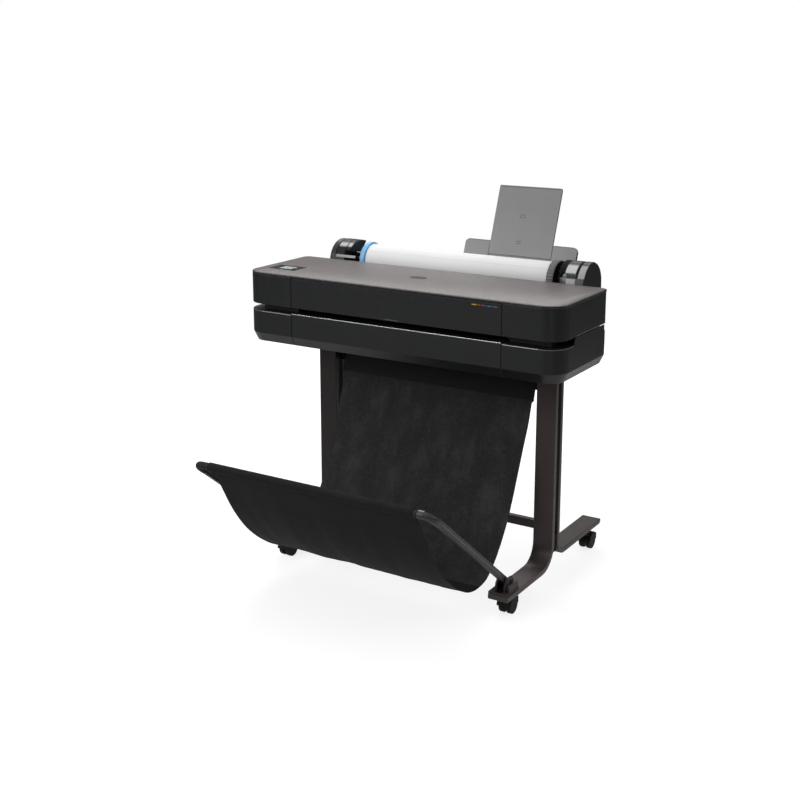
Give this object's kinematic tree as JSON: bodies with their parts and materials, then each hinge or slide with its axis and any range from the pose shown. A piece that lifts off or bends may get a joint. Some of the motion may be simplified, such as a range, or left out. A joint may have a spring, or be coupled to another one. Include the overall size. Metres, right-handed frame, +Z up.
{
  "type": "large format plotter",
  "caption": "Roll-fed wide format plotter on a two-leg rolling stand, with media roll, rear sheet feeder tray and folding fabric catch bin.",
  "frame": {"origin": "on the floor, under the centre of the overall box", "axes": "+Z up, +X to the right of a user who stands at the front, -Y towards that user"},
  "size_m": [1.013, 0.981, 1.0943],
  "materials": {
    "cover": "fine satin, warm grey brown",
    "shell": "satin black moulded plastic",
    "inner_black": "matt black",
    "bright_trim": "polished metal foil",
    "steel": "zinc plated sheet",
    "rail": "ground steel",
    "screen_glass": "gloss black",
    "screen": "lit touch display",
    "grey_plastic": "satin grey",
    "rubber": "matt black",
    "ink_yellow": "satin",
    "ink_magenta": "satin",
    "ink_cyan": "satin",
    "ink_black": "satin",
    "belt": "matt",
    "spindle": "gloss black",
    "blue_hub": "satin light blue",
    "board": "wound board",
    "paper": "smooth white",
    "tray_grey": "satin mid grey",
    "stand_brown": "dark brown anodised satin",
    "bracket": "satin dark brown",
    "arm": "satin dark grey",
    "fabric": "black woven polyester"
  },
  "bodies": {
    "printer_and_stand": {"lower_left_cap": "shell", "lower_right_cap": "shell", "lower_front_panel": "shell", "rear_panel": "shell", "upper_left_cap": "shell", "upper_right_cap": "shell", "exit_trim_strip": "bright_trim", "floor_plate": "steel", "left_side_frame": "steel", "right_side_frame": "steel", "feed_motor": "steel", "exit_platen": "inner_black", "maintenance_station": "inner_black", "roll_cradle": "inner_black", "left_roll_holder": "inner_black", "right_roll_holder": "inner_black", "feeder_mount": "inner_black", "power_inlet": "inner_black", "top_cover": "cover", "display_bezel": "screen_glass", "display_screen": "screen", "carriage_rail": "rail", "feed_belt": "belt", "feeder_tray": "tray_grey", "left_leg_front_bar": "stand_brown", "left_leg_rear_bar": "stand_brown", "right_leg_front_bar": "stand_brown", "right_leg_rear_bar": "stand_brown", "cross_bar": "stand_brown", "left_arm_bracket": "bracket", "right_arm_bracket": "bracket", "bin_fabric_rear": "fabric"},
    "window": {"front_window": "shell"},
    "carriage_unit": {"carriage": "inner_black", "ink_yellow": "ink_yellow", "ink_magenta": "ink_magenta", "ink_cyan": "ink_cyan", "ink_black": "ink_black"},
    "feed_shaft": {"feed_roller": "rubber", "feed_pulley": "grey_plastic"},
    "motor_shaft": {"motor_pulley": "steel"},
    "media_spindle": {"spindle_rod": "spindle", "left_hub_flange": "blue_hub", "right_hub_flange": "grey_plastic", "roll_core": "board", "paper_roll": "paper"},
    "extension": {"tray_extension": "tray_grey"},
    "power_button": {"power_key": "grey_plastic"},
    "bin_frame": {"left_bin_arm": "arm", "right_bin_arm": "arm", "bin_front_bar": "arm", "bin_fabric_front": "fabric"},
    "swivel_front_left": {"caster_front_left": "rubber"},
    "wheel_front_left": {"caster_wheel_front_left": "rubber"},
    "swivel_front_right": {"caster_front_right": "rubber"},
    "wheel_front_right": {"caster_wheel_front_right": "rubber"},
    "swivel_rear_left": {"caster_rear_left": "rubber"},
    "wheel_rear_left": {"caster_wheel_rear_left": "rubber"},
    "swivel_rear_right": {"caster_rear_right": "rubber"},
    "wheel_rear_right": {"caster_wheel_rear_right": "rubber"}
  },
  "joints": [
    {"name": "window_hinge", "type": "hinge", "parent": "printer_and_stand", "child": "window", "pos_m": [0, -0.077, 0.8495], "axis": [-1, 0, 0], "range_deg": [0, 80]},
    {"name": "carriage_slide", "type": "slide", "parent": "printer_and_stand", "child": "carriage_unit", "axis": [1, 0, 0], "range_m": [-0.27, 0.27]},
    {"name": "feed_roller_spin", "type": "hinge", "parent": "printer_and_stand", "child": "feed_shaft", "pos_m": [0, 0.182, 0.762], "axis": [1, 0, 0], "continuous": true},
    {"name": "motor_spin", "type": "hinge", "parent": "printer_and_stand", "child": "motor_shaft", "pos_m": [-0.476, 0.14, 0.7], "axis": [1, 0, 0], "continuous": true},
    {"name": "roll_spin", "type": "hinge", "parent": "printer_and_stand", "child": "media_spindle", "pos_m": [0, 0.3023, 0.8556], "axis": [1, 0, 0], "continuous": true},
    {"name": "extension_slide", "type": "slide", "parent": "printer_and_stand", "child": "extension", "axis": [0, 0.342, 0.9397], "range_m": [-0.15, 0]},
    {"name": "power_press", "type": "slide", "parent": "printer_and_stand", "child": "power_button", "axis": [0, 0, -1], "range_m": [0, 0.0012], "stiffness_N_per_m": 300},
    {"name": "bin_fold", "type": "hinge", "parent": "printer_and_stand", "child": "bin_frame", "pos_m": [0, -0.086, 0.096], "axis": [-1, 0, 0], "range_deg": [0, 50]},
    {"name": "swivel_front_left", "type": "hinge", "parent": "printer_and_stand", "child": "swivel_front_left", "pos_m": [-0.371, -0.089, 0.052], "axis": [0, 0, 1], "continuous": true},
    {"name": "roll_front_left", "type": "hinge", "parent": "swivel_front_left", "child": "wheel_front_left", "pos_m": [-0.371, -0.073, 0.024], "axis": [1, 0, 0], "continuous": true},
    {"name": "swivel_front_right", "type": "hinge", "parent": "printer_and_stand", "child": "swivel_front_right", "pos_m": [0.371, -0.089, 0.052], "axis": [0, 0, 1], "continuous": true},
    {"name": "roll_front_right", "type": "hinge", "parent": "swivel_front_right", "child": "wheel_front_right", "pos_m": [0.371, -0.073, 0.024], "axis": [1, 0, 0], "continuous": true},
    {"name": "swivel_rear_left", "type": "hinge", "parent": "printer_and_stand", "child": "swivel_rear_left", "pos_m": [-0.371, 0.441, 0.052], "axis": [0, 0, 1], "continuous": true},
    {"name": "roll_rear_left", "type": "hinge", "parent": "swivel_rear_left", "child": "wheel_rear_left", "pos_m": [-0.371, 0.457, 0.024], "axis": [1, 0, 0], "continuous": true},
    {"name": "swivel_rear_right", "type": "hinge", "parent": "printer_and_stand", "child": "swivel_rear_right", "pos_m": [0.371, 0.441, 0.052], "axis": [0, 0, 1], "continuous": true},
    {"name": "roll_rear_right", "type": "hinge", "parent": "swivel_rear_right", "child": "wheel_rear_right", "pos_m": [0.371, 0.457, 0.024], "axis": [1, 0, 0], "continuous": true}
  ],
  "couplings": [
    {"joint": "motor_spin", "follows": "feed_roller_spin", "ratio": 2.7}
  ]
}
